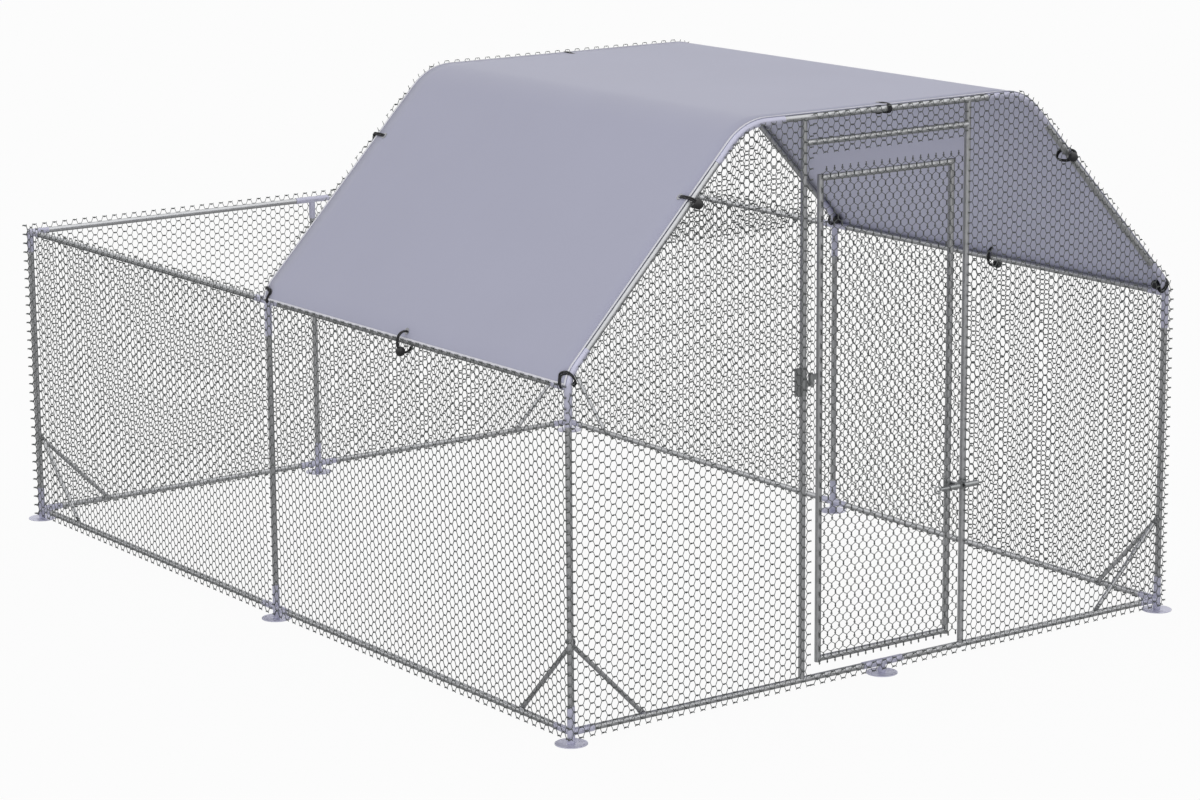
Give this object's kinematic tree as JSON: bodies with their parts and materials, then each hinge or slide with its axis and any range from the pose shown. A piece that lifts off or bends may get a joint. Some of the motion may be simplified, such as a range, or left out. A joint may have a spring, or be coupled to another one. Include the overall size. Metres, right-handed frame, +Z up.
{
  "type": "walk-in hen house",
  "caption": "Walk-in hen house of steel tube and hexagonal wire net, with an arched fabric cover over the front bay, an open run behind and a hinged net door with a slide bolt.",
  "frame": {"origin": "on the ground at the centre of the footprint, under the middle arch", "axes": "+X to the right along the front, +Y from the front with the door to the rear of the run, +Z up"},
  "size_m": [2.76, 3.86, 1.9992],
  "materials": {
    "tubes": "dull galvanised",
    "connectors": "satin pale blue-grey",
    "netting": "galvanised wire",
    "cover": "smooth coated cloth",
    "eyelets": "bright nickel",
    "cords": "woven elastic",
    "balls": "satin",
    "fittings": "dull zinc"
  },
  "bodies": {
    "house": {"base_rails_front": "tubes", "base_rails_left": "tubes", "base_rails_rear": "tubes", "base_rails_right": "tubes", "braces_front": "tubes", "braces_rear": "tubes", "cover": "cover", "door_header": "tubes", "door_posts": "tubes", "eave_elbows_front": "connectors", "eave_elbows_middle": "connectors", "eave_rails": "tubes", "eyelets": "eyelets", "feet_front_corners": "connectors", "feet_rear_corners": "connectors", "feet_sides": "connectors", "foot_front_centre": "connectors", "foot_rear_centre": "connectors", "hinge_pin": "fittings", "hinge_post_leaf": "fittings", "latch_keeper": "fittings", "net_front_left": "netting", "net_front_right": "netting", "net_left_front": "netting", "net_left_rear": "netting", "net_middle_gable": "netting", "net_over_door": "netting", "net_rear": "netting", "net_right_front": "netting", "net_right_rear": "netting", "post_front_left": "tubes", "post_front_right": "tubes", "post_middle_left": "tubes", "post_middle_right": "tubes", "post_rear_centre": "tubes", "post_rear_left": "tubes", "post_rear_right": "tubes", "rafters_front": "tubes", "rafters_middle": "tubes", "ridge_bar_front": "tubes", "ridge_bar_middle": "tubes", "ridge_elbows_front": "connectors", "ridge_elbows_middle": "connectors", "ridge_purlins": "tubes", "run_corners": "connectors", "run_rails_rear": "tubes", "run_rails_side": "tubes", "run_tee": "connectors", "tie_balls": "balls", "tie_cords": "cords"},
    "door": {"door_stiles": "tubes", "door_rails": "tubes", "door_net": "netting", "hinge_door_leaf": "fittings", "latch_barrel": "fittings"},
    "bolt": {"latch_bolt": "fittings"}
  },
  "joints": [
    {"name": "door_swing", "type": "hinge", "parent": "house", "child": "door", "pos_m": [-0.3245, -1.875, 1.08], "axis": [0, 0, -1], "range_deg": [0, 105]},
    {"name": "bolt_slide", "type": "slide", "parent": "door", "child": "bolt", "axis": [1, 0, 0], "range_m": [0, 0.038]}
  ]
}
